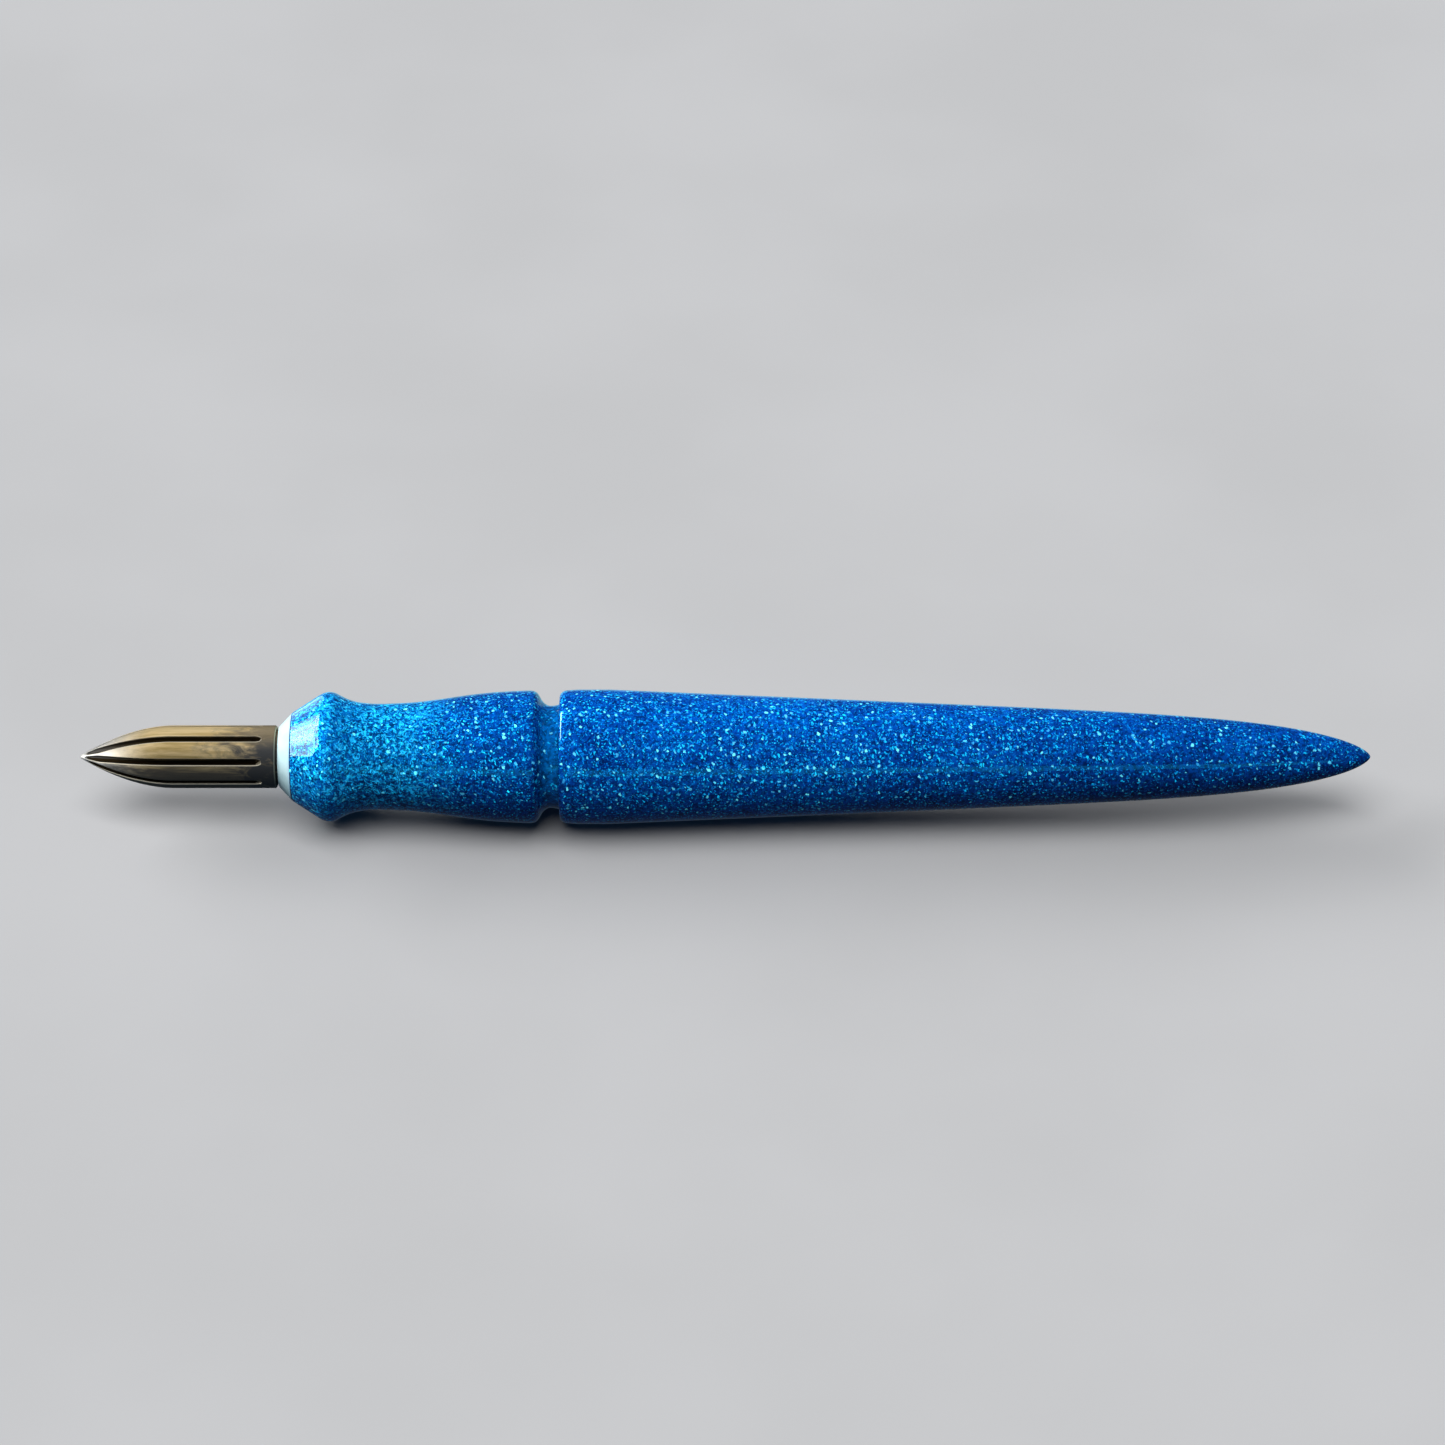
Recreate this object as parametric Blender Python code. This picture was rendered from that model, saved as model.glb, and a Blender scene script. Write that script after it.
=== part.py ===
"""Dip pen with a fluted brass nib, a pale nose collar and a turned resin holder.

Every dimension is in millimetres, measured along the pen from the nib's tip ("station")
and outwards from the pen's centreline ("radius"). The frame's +X runs from the nib
towards the tail, +Z is up, and the origin lies under the middle of the pen, on the
surface that it rests on.

The pieces, from the front: nib, nose_collar, nib_clip inside ferrule_sleeve, grip_section
and barrel. The nib pulls straight out of the front.
"""

import math

import bmesh
import bpy
from mathutils import Matrix, Vector

MM = 0.001
SEGMENTS = 40  # round a turned piece, a multiple of 4 so that a flat lies straight down

# Overall
LENGTH = 143.8
MAX_RADIUS = 7.49
GLUE_GAP = 0.07  # the epoxy line between two fixed pieces
SLIDE_GAP = 0.1  # round the nib's shank

# Nib
NIB_RADIUS = 3.5
NIB_TIP_BALL = 0.42
NIB_NOSE_END = 10.4
NIB_APEX = -0.25  # where the nose's curve would meet the centreline
NIB_NOSE_POWER = 1.85  # 2 would be a parabola
NIB_SHOULDER = 21.93
NIB_SHOULDER_CHAMFER = 0.2
SHANK_RADIUS = 2.9
SHANK_BORE = 2.5
SHANK_END = 31.93
SHANK_BORE_BOTTOM = 23.4
SHANK_SLIT_WIDTH = 0.8
SHANK_SLIT_START = 24.0
DRILL_POINT = math.radians(59)  # half of a drill's 118 degree point

# Flutes milled along the nib
FLUTES = 8
FLUTE_ROLL = math.radians(25)  # how far the first flute stands above the horizontal
FLUTE_HALF_WIDTH = 0.33
FLUTE_DEPTH_SHARE = 0.31  # of the nib's radius at each station
FLUTE_START = 0.55
FLUTE_FULL_WIDTH = 5.3
FLUTE_RAMP_START = 19.7
FLUTE_END = 20.45
FLUTE_END_ROUND = 0.35
CUTTER_OVERSHOOT = 0.5

# Nose collar
COLLAR_FRONT = 22.18
COLLAR_REAR = 23.62
COLLAR_FRONT_RADIUS = 3.35
COLLAR_REAR_RADIUS = 4.9
COLLAR_BORE = SHANK_RADIUS + SLIDE_GAP
SPIGOT_RADIUS = 3.9
SPIGOT_END = 24.8

# Grip section
GRIP_FRONT = COLLAR_REAR + GLUE_GAP
GRIP_FRONT_RADIUS = 4.95
COUNTERBORE_RADIUS = SPIGOT_RADIUS + GLUE_GAP
COUNTERBORE_END = SPIGOT_END + GLUE_GAP
GRIP_BORE = 3.47
GRIP_BORE_END = 40.1
NECK_END = 53.38
NECK_RADIUS = 5.85
TENON_RADIUS = 4.5
TENON_END = 63.4
TENON_CHAMFER = 0.4
GRIP_CONE_END = (26.6, 6.84)
GRIP_CURVE = (  # (station, radius): bulge, waist, swell, rounded shoulder and cove
    GRIP_CONE_END,
    (27.2, 7.12),
    (27.8, 7.22),
    (28.4, 7.12),
    (29.1, 6.76),
    (30.0, 6.36),
    (31.3, 6.04),
    (33.4, 5.91),
    (37.0, 6.06),
    (40.0, 6.41),
    (43.0, 6.85),
    (46.0, 7.18),
    (49.0, 7.35),
    (50.4, 7.36),
    (51.0, 7.02),
    (51.5, 6.2),
    (52.1, 5.74),
    (52.8, 5.7),
    (NECK_END, NECK_RADIUS),
)

# Ferrule sleeve
SLEEVE_FRONT = COUNTERBORE_END + GLUE_GAP
SLEEVE_REAR = 40.0
SLEEVE_RADIUS = GRIP_BORE - GLUE_GAP
SLEEVE_BORE = SHANK_RADIUS + SLIDE_GAP
BEAD_START = 33.75
BEAD_END = 34.35
BEAD_RADIUS = 2.6

# Four-leaf clip, a cupped spring inside the sleeve
LEAVES = 4
LEAF_FRONT = 25.2
LEAF_OUTER = 2.42
LEAF_TIP_OUTER = 2.2
LEAF_TIP_LENGTH = 0.9
LEAF_THICKNESS = 0.3
LEAF_SLOT_WIDTH = 0.7
CLIP_BASE_FRONT = 33.25
CLIP_BASE_REAR = 33.65
CLIP_BASE_RADIUS = SLEEVE_BORE - GLUE_GAP
CLIP_BASE_HOLE = 0.8
SLOT_FLOOR = 32.6

# Barrel
BARREL_FRONT = 53.45
BARREL_CHAMFER_RADIUS = 7.0
BARREL_CHAMFER_END = (53.95, 7.4)
LAND_START = 55.4
LAND_END = 59.0
SOCKET_RADIUS = TENON_RADIUS + GLUE_GAP
SOCKET_END = 63.9
TAPER_SHARE = 0.48  # of the radius, lost evenly from the land to the tail
TAIL_POWER = 9  # how late the tail's point begins
TAIL_BLUNTNESS = 0.62
TAIL_STATIONS = 22

RESIN = ("resin", (0.0, 0.12, 0.62), 0.12, 0.0)
PALE = ("pale_collar", (0.62, 0.85, 0.95), 0.25, 0.0)
BRASS = ("aged_brass", (0.45, 0.34, 0.17), 0.35, 1.0)
SLEEVE_BRASS = ("sleeve_brass", (0.75, 0.58, 0.28), 0.25, 1.0)
SPRING_STEEL = ("spring_steel", (0.62, 0.63, 0.65), 0.25, 1.0)


def clear_scene():
    for old in list(bpy.data.objects):
        bpy.data.objects.remove(old)


def material(name, colour, roughness, metallic):
    made = bpy.data.materials.get(name) or bpy.data.materials.new(name)
    made.use_nodes = True
    shader = made.node_tree.nodes["Principled BSDF"]
    shader.inputs["Base Color"].default_value = (*colour, 1.0)
    shader.inputs["Roughness"].default_value = roughness
    shader.inputs["Metallic"].default_value = metallic
    return made


def place(station, radius=0.0):
    """A point of the centre plane, under the centreline, in metres from the pen's axis."""
    return Vector(((station - LENGTH / 2) * MM, 0.0, -radius * MM))


def new_object(name, mesh_builder, finish):
    mesh = bpy.data.meshes.new(name)
    bmesh.ops.recalc_face_normals(mesh_builder, faces=mesh_builder.faces)
    mesh_builder.to_mesh(mesh)
    mesh_builder.free()
    made = bpy.data.objects.new(name, mesh)
    bpy.context.scene.collection.objects.link(made)
    if finish:
        mesh.materials.append(material(*finish))
    made.location = (0.0, 0.0, MAX_RADIUS * MM)
    mesh.shade_smooth()
    mesh.set_sharp_from_angle(angle=math.radians(35))
    return made


def turned(name, outline, finish, closed=False):
    """A piece turned on the pen's axis. The outline's radii are those of the flats' middles."""
    turning = bmesh.new()
    corner = 1.0 / math.cos(math.pi / SEGMENTS)
    half_step = Matrix.Rotation(math.pi / SEGMENTS, 4, "X")
    points = [turning.verts.new(half_step @ place(s, r * corner)) for s, r in outline]
    ends = points[1:] + (points[:1] if closed else [])
    edges = [turning.edges.new(pair) for pair in zip(points, ends)]
    bmesh.ops.spin(
        turning,
        geom=points + edges,
        cent=(0, 0, 0),
        axis=(1, 0, 0),
        angle=math.tau,
        steps=SEGMENTS,
        use_merge=True,
    )
    bmesh.ops.remove_doubles(turning, verts=turning.verts, dist=1e-3 * MM)
    return new_object(name, turning, finish)


def lofted(mesh_builder, sections):
    """Adds a closed tube through the sections, each a ring of the same number of points."""
    rings = [[mesh_builder.verts.new(p) for p in section] for section in sections]
    count = len(rings[0])
    for near, far in zip(rings, rings[1:]):
        for i in range(count):
            j = (i + 1) % count
            mesh_builder.faces.new((near[i], near[j], far[j], far[i]))
    mesh_builder.faces.new(reversed(rings[0]))
    mesh_builder.faces.new(rings[-1])


def cut(target, cutter):
    """Takes the cutter's shape out of the target."""
    cutter.hide_render = True
    cutter.display_type = "WIRE"
    cutting = target.modifiers.new("cut_" + cutter.name, "BOOLEAN")
    cutting.operation = "DIFFERENCE"
    cutting.object = cutter


def flowing(points, per_span):
    """Points of a Catmull-Rom curve through the given (station, radius) points."""
    framed = [points[0], *points, points[-1]]
    curve = []
    for a, b, c, d in zip(framed, framed[1:], framed[2:], framed[3:]):
        for i in range(per_span):
            t = i / per_span
            curve.append(
                tuple(
                    0.5
                    * (
                        2 * q
                        + (r - p) * t
                        + (2 * p - 5 * q + 4 * r - s) * t**2
                        + (3 * q - p - 3 * r + s) * t**3
                    )
                    for p, q, r, s in zip(a, b, c, d)
                )
            )
    return [*curve, points[-1]]


def nib_radius(station):
    """The nib's outer radius: a ball tip, a curved nose and a parallel body."""
    if station >= NIB_NOSE_END:
        return NIB_RADIUS
    along = (NIB_NOSE_END - station) / (NIB_NOSE_END - NIB_APEX)
    nose = NIB_RADIUS * (1 - along**NIB_NOSE_POWER)
    if station >= NIB_TIP_BALL:
        return nose
    ball = math.sqrt(max(0.0, NIB_TIP_BALL**2 - (NIB_TIP_BALL - station) ** 2))
    return min(ball, nose)


def barrel_radius(station):
    """The barrel's outer radius behind its land: an even taper that closes in a point."""
    along = (station - LAND_END) / (LENGTH - LAND_END)
    closing = max(0.0, 1 - along**TAIL_POWER) ** TAIL_BLUNTNESS
    return MAX_RADIUS * (1 - TAPER_SHARE * along) * closing


def flute_half_width(station):
    opening = (station - 0.3) / (FLUTE_FULL_WIDTH - 0.3)
    width = FLUTE_HALF_WIDTH * min(1.0, opening) ** 0.7
    into_end = (station - (FLUTE_END - FLUTE_END_ROUND)) / FLUTE_END_ROUND
    return width * math.sqrt(max(0.04, 1 - max(0.0, into_end) ** 2))


def flute_depth(station):
    depth = FLUTE_DEPTH_SHARE * nib_radius(station)
    up_ramp = (station - FLUTE_RAMP_START) / (FLUTE_END - FLUTE_RAMP_START)
    return depth * math.sqrt(max(0.0, 1 - max(0.0, up_ramp) ** 2))


def flute_section(station, turn):
    """A slot's outline with a round floor, across the nib's axis."""
    half = flute_half_width(station)
    floor = nib_radius(station) - flute_depth(station)
    top = nib_radius(station) + CUTTER_OVERSHOOT
    shoulder = floor + half
    outline = [(half, top)]
    for i in range(5):
        angle = math.pi * i / 4
        outline.append((half * math.cos(angle), shoulder - half * math.sin(angle)))
    outline.append((-half, top))
    x = (station - LENGTH / 2) * MM
    return [turn @ Vector((x, -out * MM, side * MM)) for side, out in outline]


def make_nib():
    ball = [0.0, 0.05, 0.15, 0.3]
    nose = [0.6, 1.1, 1.8, 2.8, 4.0, 5.4, 7.0, 8.6, NIB_NOSE_END]
    bore_depth = SHANK_BORE / math.tan(DRILL_POINT)
    outline = [
        *((s, nib_radius(s)) for s in ball + nose),
        (NIB_SHOULDER - NIB_SHOULDER_CHAMFER, NIB_RADIUS),
        (NIB_SHOULDER, NIB_RADIUS - NIB_SHOULDER_CHAMFER),
        (NIB_SHOULDER, SHANK_RADIUS),
        (SHANK_END - 0.2, SHANK_RADIUS),
        (SHANK_END, SHANK_RADIUS - 0.15),
        (SHANK_END, SHANK_BORE),
        (SHANK_BORE_BOTTOM, SHANK_BORE),
        (SHANK_BORE_BOTTOM - bore_depth, 0.0),
    ]
    nib = turned("nib", outline, BRASS)

    stations = [FLUTE_START, 0.9, 1.5, 2.4, 3.6, 5.3, 7.0, 8.6, NIB_NOSE_END]
    ramp = FLUTE_END - FLUTE_RAMP_START
    stations += [FLUTE_RAMP_START + ramp * share for share in (0, 0.5, 0.8, 0.94, 1)]
    flutes = bmesh.new()
    for i in range(FLUTES):
        turn = Matrix.Rotation(-FLUTE_ROLL + math.tau * i / FLUTES, 4, "X")
        lofted(flutes, [flute_section(s, turn) for s in stations])
    cut(nib, new_object("flute_cutter", flutes, None))

    slit = bmesh.new()
    bmesh.ops.create_cube(slit, size=1.0)
    length = SHANK_END - SHANK_SLIT_START + 1.0
    reach = SHANK_RADIUS + 1.0
    shape = Matrix.Diagonal((length * MM, reach * MM, SHANK_SLIT_WIDTH * MM, 1.0))
    middle = Matrix.Translation(place(SHANK_SLIT_START + length / 2))
    outwards = Matrix.Translation((0.0, -reach / 2 * MM, 0.0))
    slit.transform(Matrix.Rotation(-FLUTE_ROLL, 4, "X") @ middle @ outwards @ shape)
    cut(nib, new_object("slit_cutter", slit, None))
    return nib


def make_nose_collar():
    outline = [
        (COLLAR_FRONT, COLLAR_BORE),
        (COLLAR_FRONT, COLLAR_FRONT_RADIUS),
        (COLLAR_REAR, COLLAR_REAR_RADIUS),
        (COLLAR_REAR, SPIGOT_RADIUS),
        (SPIGOT_END, SPIGOT_RADIUS),
        (SPIGOT_END, COLLAR_BORE),
    ]
    return turned("nose_collar", outline, PALE, closed=True)


def make_ferrule_sleeve():
    outline = [
        (SLEEVE_FRONT, SLEEVE_BORE),
        (SLEEVE_FRONT, SLEEVE_RADIUS),
        (SLEEVE_REAR, SLEEVE_RADIUS),
        (SLEEVE_REAR, SLEEVE_BORE),
        (BEAD_END, SLEEVE_BORE),
        (BEAD_END - 0.15, BEAD_RADIUS),
        (BEAD_START + 0.15, BEAD_RADIUS),
        (BEAD_START, SLEEVE_BORE),
    ]
    return turned("ferrule_sleeve", outline, SLEEVE_BRASS, closed=True)


def make_nib_clip():
    leaf_inner = LEAF_OUTER - LEAF_THICKNESS
    outline = [
        (LEAF_FRONT, LEAF_TIP_OUTER - LEAF_THICKNESS),
        (LEAF_FRONT, LEAF_TIP_OUTER),
        (LEAF_FRONT + LEAF_TIP_LENGTH, LEAF_OUTER),
        (CLIP_BASE_FRONT, LEAF_OUTER),
        (CLIP_BASE_FRONT, CLIP_BASE_RADIUS),
        (CLIP_BASE_REAR, CLIP_BASE_RADIUS),
        (CLIP_BASE_REAR, CLIP_BASE_HOLE),
        (CLIP_BASE_FRONT, CLIP_BASE_HOLE),
        (CLIP_BASE_FRONT, leaf_inner),
        (LEAF_FRONT + LEAF_TIP_LENGTH, leaf_inner),
    ]
    clip = turned("nib_clip", outline, SPRING_STEEL, closed=True)

    length = SLOT_FLOOR - LEAF_FRONT + 1.0
    across = 2 * LEAF_OUTER + 2.0
    slots = bmesh.new()
    for i in range(LEAVES):
        turn = Matrix.Rotation(math.tau * (i + 0.5) / LEAVES, 4, "X")
        made = bmesh.ops.create_cube(slots, size=1.0)["verts"]
        shape = Matrix.Diagonal((length, across / 2, LEAF_SLOT_WIDTH, 1.0))
        outwards = Matrix.Translation((0.0, (LEAF_SLOT_WIDTH + across / 2) / 2, 0.0))
        size = Matrix.Scale(MM, 4)
        middle = Matrix.Translation(place(SLOT_FLOOR - length / 2))
        bmesh.ops.transform(slots, verts=made, matrix=turn @ middle @ size @ outwards @ shape)
    cut(clip, new_object("leaf_slot_cutter", slots, None))
    return clip


def make_grip_section():
    bore_point = GRIP_BORE / math.tan(DRILL_POINT)
    outline = [
        (GRIP_BORE_END + bore_point, 0.0),
        (GRIP_BORE_END, GRIP_BORE),
        (COUNTERBORE_END, GRIP_BORE),
        (COUNTERBORE_END, COUNTERBORE_RADIUS),
        (GRIP_FRONT, COUNTERBORE_RADIUS),
        (GRIP_FRONT, GRIP_FRONT_RADIUS),
        *flowing(GRIP_CURVE, 2),
        (NECK_END, TENON_RADIUS),
        (TENON_END - TENON_CHAMFER, TENON_RADIUS),
        (TENON_END, TENON_RADIUS - TENON_CHAMFER),
        (TENON_END, 0.0),
    ]
    return turned("grip_section", outline, RESIN)


def make_barrel():
    socket_point = SOCKET_RADIUS / math.tan(DRILL_POINT)
    tail = []
    for i in range(1, TAIL_STATIONS + 1):
        share = math.sin(math.pi / 2 * i / TAIL_STATIONS)  # closer together at the point
        station = LAND_END + (LENGTH - LAND_END) * share
        tail.append((station, barrel_radius(station)))
    tail[-1] = (LENGTH, 0.0)
    outline = [
        (SOCKET_END + socket_point, 0.0),
        (SOCKET_END, SOCKET_RADIUS),
        (BARREL_FRONT, SOCKET_RADIUS),
        (BARREL_FRONT, BARREL_CHAMFER_RADIUS),
        BARREL_CHAMFER_END,
        (LAND_START, MAX_RADIUS),
        (LAND_END, MAX_RADIUS),
        *tail,
    ]
    return turned("barrel", outline, RESIN)


def main():
    clear_scene()
    make_nib()
    make_nose_collar()
    make_ferrule_sleeve()
    make_nib_clip()
    make_grip_section()
    make_barrel()


main()
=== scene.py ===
"""Looks of the dip pen: a fluted brass nib in a turned holder of deep blue glitter resin.

Lengths are in millimetres until a mesh is made. A "station" is the distance along the pen
from the nib's tip, and a "radius" the distance out from the pen's centreline.
"""

import math
from collections import namedtuple

import bmesh
import bpy
from mathutils import Matrix, Vector


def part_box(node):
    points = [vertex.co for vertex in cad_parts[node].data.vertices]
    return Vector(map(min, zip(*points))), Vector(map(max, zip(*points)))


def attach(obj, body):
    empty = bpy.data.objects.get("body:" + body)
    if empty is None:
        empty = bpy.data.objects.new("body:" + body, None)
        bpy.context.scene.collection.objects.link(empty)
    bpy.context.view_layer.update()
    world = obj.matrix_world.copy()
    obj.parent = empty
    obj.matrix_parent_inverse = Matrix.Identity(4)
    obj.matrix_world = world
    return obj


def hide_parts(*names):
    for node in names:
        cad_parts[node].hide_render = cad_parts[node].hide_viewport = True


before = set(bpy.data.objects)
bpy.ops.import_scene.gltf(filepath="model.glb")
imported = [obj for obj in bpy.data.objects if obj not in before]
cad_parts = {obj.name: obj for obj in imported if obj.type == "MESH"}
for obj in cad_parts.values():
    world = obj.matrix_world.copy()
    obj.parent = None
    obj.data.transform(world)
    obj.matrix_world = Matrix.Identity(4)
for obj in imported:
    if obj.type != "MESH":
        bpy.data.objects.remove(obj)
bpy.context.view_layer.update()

MM = 0.001
TIP_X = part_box("nib")[0].x
TAIL_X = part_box("barrel")[1].x
AXIS_Z = (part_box("barrel")[0].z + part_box("barrel")[1].z) / 2
LENGTH = (TAIL_X - TIP_X) / MM
MAX_RADIUS = (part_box("barrel")[1].z - AXIS_Z) / MM

# Nib
NIB_RADIUS = 3.5
NIB_TIP_BALL = 0.42
NIB_NOSE_END = 10.4
NIB_APEX = -0.25
NIB_NOSE_POWER = 1.85
NIB_SHOULDER = 21.93
SHANK_RADIUS = 2.9
SHANK_BORE = 2.5
SHANK_END = 31.93
SHANK_SLIT_START = 24.0
SHANK_SLIT_WIDTH = 0.8

# Flutes
FLUTES = 8
FLUTE_ROLL = math.radians(26)
FLUTE_HALF_WIDTH = 0.35
FLUTE_DEPTH_SHARE = 0.31
FLUTE_START = 0.5
FLUTE_END = 20.4
FLUTE_OPENING = 0.7  # over which a flute deepens from its front end
FLUTE_RAMP = 0.75  # over which it closes at its round rear end
FLUTE_EDGE = 0.09
FLUTE_LIMITS = (0.28, 0.05)  # most half width and edge round near the tip, as shares of radius
FLUTE_LEAST_WIDTH = 0.15  # share of its width left at the very end
# the depth at which the painted shade in a flute is darkest
FLUTE_PAINTED_SHADE_DEPTH = 0.2
NIB_REAR_ROUND = 0.17

# Holder
COLLAR_FRONT = 22.18
COLLAR_REAR = 23.62
COLLAR_FRONT_RADIUS = 3.35
COLLAR_REAR_RADIUS = 4.9
COLLAR_BORE = 3.0
SPIGOT_RADIUS = 3.9
SPIGOT_END = 24.8
GLUE_GAP = 0.07
GRIP_FRONT = COLLAR_REAR + GLUE_GAP
GRIP_FRONT_RADIUS = 4.95
GRIP_BORE = 3.47
GRIP_BORE_END = 40.1
NECK_END = 53.38
NECK_RADIUS = 5.85
TENON_RADIUS = 4.5
TENON_END = 63.4
GRIP_CONE_END = (26.6, 6.84)
GRIP_CURVE = (
    GRIP_CONE_END,
    (27.2, 7.12),
    (27.8, 7.22),
    (28.4, 7.12),
    (29.1, 6.76),
    (30.0, 6.36),
    (31.3, 6.04),
    (33.4, 5.91),
    (37.0, 6.06),
    (40.0, 6.41),
    (43.0, 6.85),
    (46.0, 7.18),
    (49.0, 7.35),
    (50.4, 7.36),
    (51.0, 7.02),
    (51.5, 6.2),
    (52.1, 5.74),
    (52.8, 5.7),
    (NECK_END, NECK_RADIUS),
)
SLEEVE_FRONT = SPIGOT_END + 2 * GLUE_GAP
SLEEVE_REAR = 40.0
SLEEVE_RADIUS = GRIP_BORE - GLUE_GAP
SLEEVE_BORE = 3.0
BEAD_START = 33.75
BEAD_END = 34.35
BEAD_RADIUS = 2.6
LEAVES = 4
LEAF_FRONT = 25.2
LEAF_OUTER = 2.42
LEAF_TIP_OUTER = 2.2
LEAF_THICKNESS = 0.3
LEAF_SLOT_WIDTH = 0.7
SLOT_FLOOR = 32.6
CLIP_BASE_FRONT = 33.25
CLIP_BASE_REAR = 33.65
CLIP_BASE_RADIUS = SLEEVE_BORE - GLUE_GAP
CLIP_BASE_HOLE = 0.8
BARREL_FRONT = 53.45
BARREL_FRONT_RADIUS = 7.0
BARREL_CHAMFER_END = (53.95, 7.38)
BARREL_EDGE_ROUND = 0.3
LAND_START = 55.4
LAND_END = 59.0
SOCKET_RADIUS = TENON_RADIUS + GLUE_GAP
SOCKET_END = 63.9
TAPER_SHARE = 0.48
TAIL_POWER = 9
TAIL_BLUNTNESS = 0.62
TAIL_ROWS = 150

DRILL_POINT = math.radians(59)
ROUND = 192  # steps round a turned piece
INSIDE_ROUND = 96


# ---------------------------------------------------------------- meshes


def place(station, across, up):
    """A point given along the pen and across it from the centreline, in the row frame."""
    return Vector((TIP_X + station * MM, across * MM, AXIS_Z + up * MM))


def finished(name, mesh_builder, body, node, material, sharp=32):
    """The piece made from a bmesh, riding on its body and standing for its CAD node."""
    bmesh.ops.recalc_face_normals(mesh_builder, faces=mesh_builder.faces)
    mesh = bpy.data.meshes.new(name)
    mesh_builder.to_mesh(mesh)
    mesh_builder.free()
    piece = bpy.data.objects.new(name, mesh)
    bpy.context.scene.collection.objects.link(piece)
    mesh.shade_smooth()
    mesh.set_sharp_from_angle(angle=math.radians(sharp))
    mesh.materials.append(material)
    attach(piece, body)
    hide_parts(node)
    return piece


def rounded(outline, radius, steps=4, closed=False):
    """The outline with each corner that turns by over 15 degrees rounded off."""
    points = [Vector(p) for p in outline]
    count = len(points)
    result = []
    for i, corner in enumerate(points):
        if not closed and i in (0, count - 1):
            result.append(tuple(corner))
            continue
        before, after = points[i - 1], points[(i + 1) % count]
        back, on = before - corner, after - corner
        turn = math.pi - back.angle(on)
        if turn < math.radians(15):
            result.append(tuple(corner))
            continue
        reach = min(radius, 0.45 * back.length, 0.45 * on.length)
        start = corner + back.normalized() * reach
        end = corner + on.normalized() * reach
        for k in range(steps + 1):
            t = k / steps
            bent = (1 - t) ** 2 * start + 2 * t * (1 - t) * corner + t**2 * end
            result.append(tuple(bent))
    return result


def flowing(points, per_span):
    """Points of a Catmull-Rom curve through the given (station, radius) points."""
    framed = [points[0], *points, points[-1]]
    curve = []
    for a, b, c, d in zip(framed, framed[1:], framed[2:], framed[3:]):
        for i in range(per_span):
            t = i / per_span
            curve.append(
                tuple(
                    0.5
                    * (
                        2 * q
                        + (r - p) * t
                        + (2 * p - 5 * q + 4 * r - s) * t**2
                        + (3 * q - p - 3 * r + s) * t**3
                    )
                    for p, q, r, s in zip(a, b, c, d)
                )
            )
    return [*curve, points[-1]]


def divided(start, end, longest):
    """Points after start, up to and with end, no further apart than longest."""
    a, b = Vector(start), Vector(end)
    steps = max(1, math.ceil((b - a).length / longest))
    return [tuple(a.lerp(b, k / steps)) for k in range(1, steps + 1)]


def turned(outline, steps=ROUND, closed=False):
    """A bmesh of an outline turned about the pen's centreline."""
    mesh_builder = bmesh.new()
    rings = []
    for station, radius in outline:
        if radius < 1e-6:
            rings.append([mesh_builder.verts.new(place(station, 0, 0))] * steps)
            continue
        ring = []
        for k in range(steps):
            angle = math.tau * k / steps
            ring.append(
                mesh_builder.verts.new(
                    place(station, radius * math.cos(angle), radius * math.sin(angle))
                )
            )
        rings.append(ring)
    pairs = list(zip(rings, rings[1:]))
    if closed:
        pairs.append((rings[-1], rings[0]))
    for near, far in pairs:
        for k in range(steps):
            j = (k + 1) % steps
            corners = list(dict.fromkeys((near[k], near[j], far[j], far[k])))
            if len(corners) > 2:
                mesh_builder.faces.new(corners)
    return mesh_builder


def nib_radius(station):
    """Radius of the nib without its flutes: a small ball, a curved nose and a straight body."""
    if station >= NIB_NOSE_END:
        return NIB_RADIUS
    along = (NIB_NOSE_END - station) / (NIB_NOSE_END - NIB_APEX)
    nose = NIB_RADIUS * (1 - along**NIB_NOSE_POWER)
    if station >= NIB_TIP_BALL:
        return nose
    ball = math.sqrt(max(0.0, NIB_TIP_BALL**2 - (NIB_TIP_BALL - station) ** 2))
    return min(ball, nose)


def flute_closing(station):
    """How far a station is into the flutes' round rear ends, from 0 to 1."""
    return min(1.0, max(0.0, 1 + (station - FLUTE_END) / FLUTE_RAMP))


def flute_size(station):
    """(half width, depth, edge round) of a flute at a station. Its depth is 0 beyond its ends."""
    radius = nib_radius(station)
    most_half, most_edge = FLUTE_LIMITS
    half = min(FLUTE_HALF_WIDTH, most_half * radius)
    edge = min(FLUTE_EDGE, most_edge * radius)
    depth = FLUTE_DEPTH_SHARE * radius
    if station <= FLUTE_START or station >= FLUTE_END:
        return half, 0.0, edge
    opening = min(1.0, (station - FLUTE_START) / FLUTE_OPENING)
    depth *= math.sin(math.pi / 2 * opening)
    closing = flute_closing(station)
    half *= max(FLUTE_LEAST_WIDTH, math.sqrt(1 - closing**2))
    return half, depth * (1 - closing**2), edge


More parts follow.
